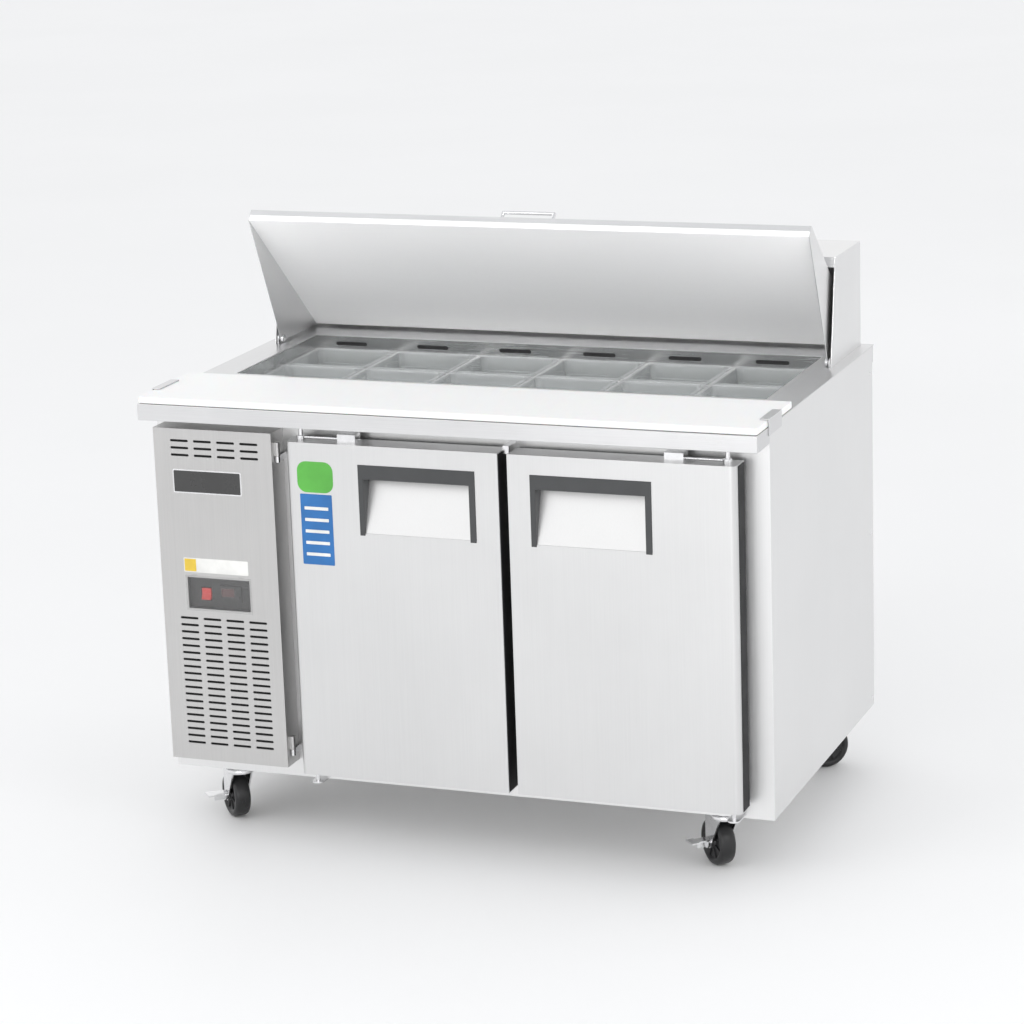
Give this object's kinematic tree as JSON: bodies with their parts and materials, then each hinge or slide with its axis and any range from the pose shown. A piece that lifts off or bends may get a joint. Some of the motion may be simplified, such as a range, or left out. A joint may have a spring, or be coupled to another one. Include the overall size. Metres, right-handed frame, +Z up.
{
  "type": "sandwich prep table",
  "caption": "Refrigerated prep table: doored cabinet beside a louvred machine bay, cutting board, tilting lid over lift-out food pans, rear hood, swivel casters.",
  "frame": {"origin": "on the floor under the centre of the whole object's box", "axes": "+Z up, -Y towards the front with the doors, +X to the right seen from the front"},
  "size_m": [1.21, 0.8, 1.1503],
  "materials": {
    "stainless": "brushed, vertical or horizontal grain",
    "stainless_side": "brushed, light satin",
    "galvanised": "bare sheet",
    "foam": "rigid foam",
    "white_board": "fine matt polyethylene",
    "gasket": "matt",
    "handle_grey": "fine grained",
    "black_plastic": "satin",
    "red_plastic": "gloss",
    "clear_plastic": "clear",
    "chrome": "bright zinc",
    "wire_white": "coated wire",
    "compressor_black": "black enamel",
    "tyre_black": "moulded"
  },
  "bodies": {
    "cabinet": {"cabinet_shell": "stainless_side", "insulation": "foam", "cabinet_liner": "galvanised", "counter_top": "stainless", "pan_well": "stainless", "pan_dividers": "stainless", "rear_hood": "stainless_side", "board_clips": "stainless", "hinge_brackets": "chrome", "power_inlet": "black_plastic", "compressor": "compressor_black", "condenser": "galvanised", "evaporator": "galvanised", "shelves": "wire_white", "caster_plates": "chrome"},
    "board": {"cutting_board": "white_board"},
    "lid": {"lid_shell": "stainless", "lid_liner": "stainless", "lid_pins": "chrome", "lid_handle": "chrome"},
    "left_door": {"left_door_skin": "stainless", "left_door_liner": "galvanised", "left_door_gasket": "gasket", "left_door_handle": "handle_grey", "left_door_hinge": "chrome"},
    "right_door": {"right_door_skin": "stainless", "right_door_liner": "galvanised", "right_door_gasket": "gasket", "right_door_handle": "handle_grey", "right_door_hinge": "chrome"},
    "machine_door": {"machine_panel": "stainless", "control_box": "black_plastic", "temperature_controller": "black_plastic"},
    "control_flap": {"control_cover": "clear_plastic"},
    "rocker": {"rocker_switch": "red_plastic"},
    "set_button": {"controller_button": "handle_grey"},
    "condenser_rotor": {"condenser_fan": "black_plastic"},
    "evaporator_rotor": {"evaporator_fan": "black_plastic"},
    "caster_fl": {"caster_fl_fork": "chrome"},
    "wheel_fl": {"caster_fl_wheel": "tyre_black"},
    "brake_fl": {"caster_fl_brake": "chrome"},
    "caster_fr": {"caster_fr_fork": "chrome"},
    "wheel_fr": {"caster_fr_wheel": "tyre_black"},
    "brake_fr": {"caster_fr_brake": "chrome"},
    "caster_rl": {"caster_rl_fork": "chrome"},
    "wheel_rl": {"caster_rl_wheel": "tyre_black"},
    "caster_rr": {"caster_rr_fork": "chrome"},
    "wheel_rr": {"caster_rr_wheel": "tyre_black"},
    "pan_1": {"pan_1": "clear_plastic"},
    "pan_2": {"pan_2": "clear_plastic"},
    "pan_3": {"pan_3": "clear_plastic"},
    "pan_4": {"pan_4": "clear_plastic"},
    "pan_5": {"pan_5": "clear_plastic"},
    "pan_6": {"pan_6": "clear_plastic"},
    "pan_7": {"pan_7": "clear_plastic"},
    "pan_8": {"pan_8": "clear_plastic"},
    "pan_9": {"pan_9": "clear_plastic"},
    "pan_10": {"pan_10": "clear_plastic"},
    "pan_11": {"pan_11": "clear_plastic"},
    "pan_12": {"pan_12": "clear_plastic"}
  },
  "joints": [
    {"name": "lid_tilt", "type": "hinge", "parent": "cabinet", "child": "lid", "pos_m": [0, 0.1825, 0.863], "axis": [-1, 0, 0], "range_deg": [-64, 0]},
    {"name": "left_door_swing", "type": "hinge", "parent": "cabinet", "child": "left_door", "pos_m": [-0.287, -0.362, 0.47], "axis": [0, 0, -1], "range_deg": [0, 90]},
    {"name": "right_door_swing", "type": "hinge", "parent": "cabinet", "child": "right_door", "pos_m": [0.537, -0.362, 0.47], "axis": [0, 0, 1], "range_deg": [0, 90]},
    {"name": "machine_panel_swing", "type": "hinge", "parent": "cabinet", "child": "machine_door", "pos_m": [-0.337, -0.361, 0.48], "axis": [0, 0, 1], "range_deg": [0, 90]},
    {"name": "control_flap_lift", "type": "hinge", "parent": "machine_door", "child": "control_flap", "pos_m": [-0.4665, -0.3785, 0.523], "axis": [1, 0, 0], "range_deg": [-100, 0]},
    {"name": "rocker_tilt", "type": "hinge", "parent": "machine_door", "child": "rocker", "pos_m": [-0.498, -0.3595, 0.484], "axis": [1, 0, 0], "range_deg": [-12, 0]},
    {"name": "set_button_press", "type": "slide", "parent": "machine_door", "child": "set_button", "axis": [0, 1, 0], "range_m": [0, 0.0015], "stiffness_N_per_m": 300},
    {"name": "board_slide", "type": "slide", "parent": "cabinet", "child": "board", "axis": [0, -1, 0], "range_m": [0, 0.23]},
    {"name": "condenser_fan_spin", "type": "hinge", "parent": "cabinet", "child": "condenser_rotor", "pos_m": [-0.47, -0.2, 0.305], "axis": [0, 1, 0], "continuous": true},
    {"name": "evaporator_fan_spin", "type": "hinge", "parent": "cabinet", "child": "evaporator_rotor", "pos_m": [0.09, 0.28, 0.63], "axis": [0, 1, 0], "continuous": true},
    {"name": "caster_fl_swivel", "type": "hinge", "parent": "cabinet", "child": "caster_fl", "pos_m": [-0.494, -0.276, 0.1], "axis": [0, 0, 1], "continuous": true},
    {"name": "wheel_fl_roll", "type": "hinge", "parent": "caster_fl", "child": "wheel_fl", "pos_m": [-0.51521, -0.25479, 0.045], "axis": [-0.7071, -0.7071, 0], "continuous": true},
    {"name": "brake_fl_press", "type": "hinge", "parent": "caster_fl", "child": "brake_fl", "pos_m": [-0.51521, -0.25479, 0.045], "axis": [-0.7071, -0.7071, 0], "range_deg": [-20, 0]},
    {"name": "caster_fr_swivel", "type": "hinge", "parent": "cabinet", "child": "caster_fr", "pos_m": [0.494, -0.276, 0.1], "axis": [0, 0, 1], "continuous": true},
    {"name": "wheel_fr_roll", "type": "hinge", "parent": "caster_fr", "child": "wheel_fr", "pos_m": [0.47279, -0.25479, 0.045], "axis": [-0.7071, -0.7071, 0], "continuous": true},
    {"name": "brake_fr_press", "type": "hinge", "parent": "caster_fr", "child": "brake_fr", "pos_m": [0.47279, -0.25479, 0.045], "axis": [-0.7071, -0.7071, 0], "range_deg": [-20, 0]},
    {"name": "caster_rl_swivel", "type": "hinge", "parent": "cabinet", "child": "caster_rl", "pos_m": [-0.494, 0.31, 0.1], "axis": [0, 0, 1], "continuous": true},
    {"name": "wheel_rl_roll", "type": "hinge", "parent": "caster_rl", "child": "wheel_rl", "pos_m": [-0.47102, 0.32928, 0.045], "axis": [-0.6428, 0.766, 0], "continuous": true},
    {"name": "caster_rr_swivel", "type": "hinge", "parent": "cabinet", "child": "caster_rr", "pos_m": [0.494, 0.31, 0.1], "axis": [0, 0, 1], "continuous": true},
    {"name": "wheel_rr_roll", "type": "hinge", "parent": "caster_rr", "child": "wheel_rr", "pos_m": [0.51698, 0.32928, 0.045], "axis": [-0.6428, 0.766, 0], "continuous": true},
    {"name": "pan_1_lift", "type": "slide", "parent": "cabinet", "child": "pan_1", "axis": [0, 0, 1], "range_m": [0, 0.102]},
    {"name": "pan_2_lift", "type": "slide", "parent": "cabinet", "child": "pan_2", "axis": [0, 0, 1], "range_m": [0, 0.102]},
    {"name": "pan_3_lift", "type": "slide", "parent": "cabinet", "child": "pan_3", "axis": [0, 0, 1], "range_m": [0, 0.102]},
    {"name": "pan_4_lift", "type": "slide", "parent": "cabinet", "child": "pan_4", "axis": [0, 0, 1], "range_m": [0, 0.102]},
    {"name": "pan_5_lift", "type": "slide", "parent": "cabinet", "child": "pan_5", "axis": [0, 0, 1], "range_m": [0, 0.102]},
    {"name": "pan_6_lift", "type": "slide", "parent": "cabinet", "child": "pan_6", "axis": [0, 0, 1], "range_m": [0, 0.102]},
    {"name": "pan_7_lift", "type": "slide", "parent": "cabinet", "child": "pan_7", "axis": [0, 0, 1], "range_m": [0, 0.135]},
    {"name": "pan_8_lift", "type": "slide", "parent": "cabinet", "child": "pan_8", "axis": [0, 0, 1], "range_m": [0, 0.135]},
    {"name": "pan_9_lift", "type": "slide", "parent": "cabinet", "child": "pan_9", "axis": [0, 0, 1], "range_m": [0, 0.135]},
    {"name": "pan_10_lift", "type": "slide", "parent": "cabinet", "child": "pan_10", "axis": [0, 0, 1], "range_m": [0, 0.135]},
    {"name": "pan_11_lift", "type": "slide", "parent": "cabinet", "child": "pan_11", "axis": [0, 0, 1], "range_m": [0, 0.135]},
    {"name": "pan_12_lift", "type": "slide", "parent": "cabinet", "child": "pan_12", "axis": [0, 0, 1], "range_m": [0, 0.135]}
  ]
}
